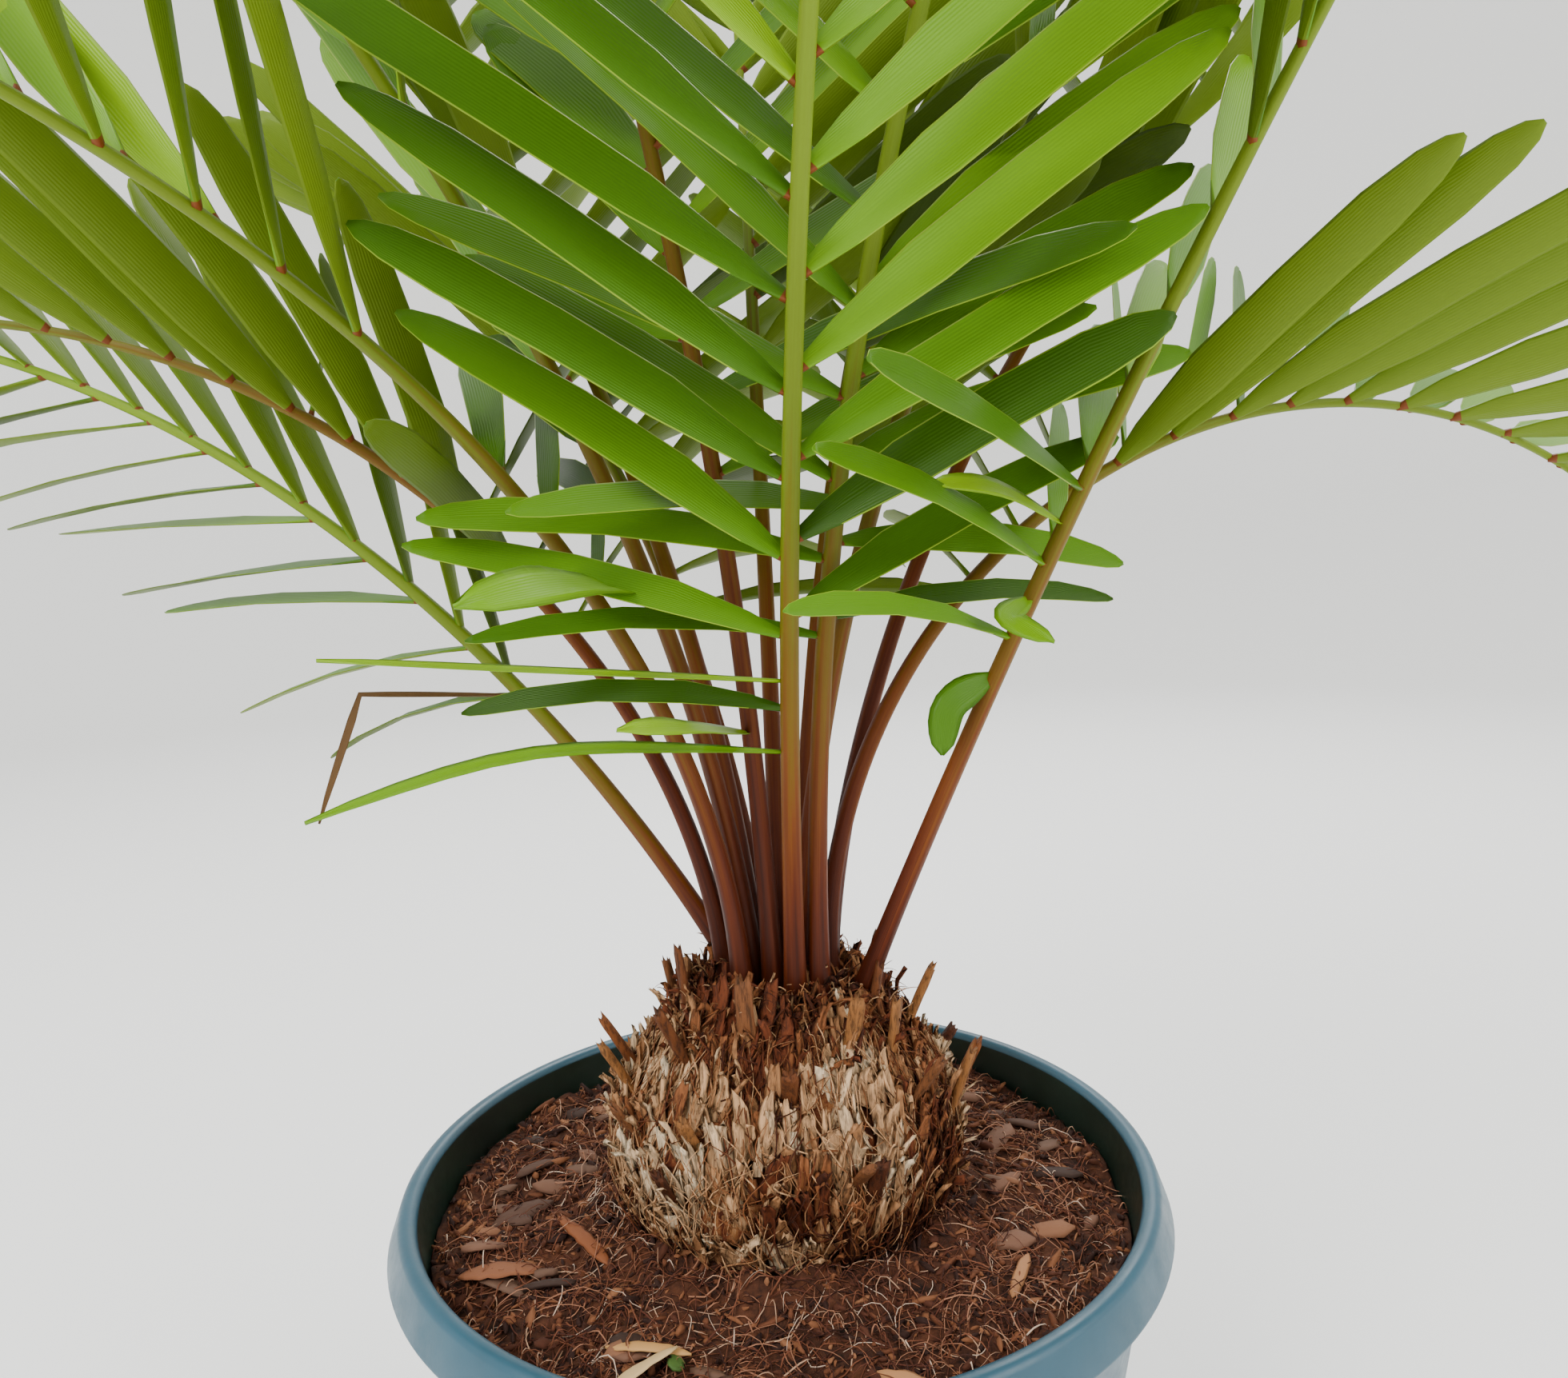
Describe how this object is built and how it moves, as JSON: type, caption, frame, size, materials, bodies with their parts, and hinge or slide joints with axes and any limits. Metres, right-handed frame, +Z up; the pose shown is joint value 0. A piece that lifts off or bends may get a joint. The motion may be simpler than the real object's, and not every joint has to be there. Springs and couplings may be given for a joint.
{
  "type": "potted coontie palm",
  "caption": "Low cycad with a papery swollen stem and a bundle of arching feather fronds, growing in a round tapered plastic pot with a rolled collar, filled with peat soil",
  "frame": {"origin": "middle of the pot's flat underside, on the surface it stands on", "axes": "+Z up; the plant's front, as pictured, faces -Y, and +X is to the right seen from there"},
  "size_m": [1.0177, 0.8636, 0.9719],
  "materials": {
    "pot_plastic": "blue-green moulded polypropylene with a soft satin sheen and fine scuffs",
    "peat_soil": "damp reddish-brown fibrous peat with bark chips",
    "papery_bark": "pale papery flakes over dark red-brown leaf bases",
    "frond_green": "leathery green leaflets with a soft waxy sheen, red-brown at the foot of each stem"
  },
  "bodies": {
    "root": {"pot": "pot_plastic", "soil": "peat_soil", "caudex": "papery_bark", "frond_front": "frond_green", "frond_front_right": "frond_green", "frond_right_long": "frond_green", "frond_right_low": "frond_green", "frond_right_back": "frond_green", "frond_left_low": "frond_green", "frond_left_brown": "frond_green", "frond_left_front": "frond_green", "frond_left_tall": "frond_green", "frond_back_left": "frond_green", "frond_back": "frond_green", "frond_back_right": "frond_green", "frond_middle_left": "frond_green", "frond_middle_right": "frond_green", "frond_low_back_left": "frond_green", "frond_low_back_right": "frond_green"}
  },
  "joints": []
}
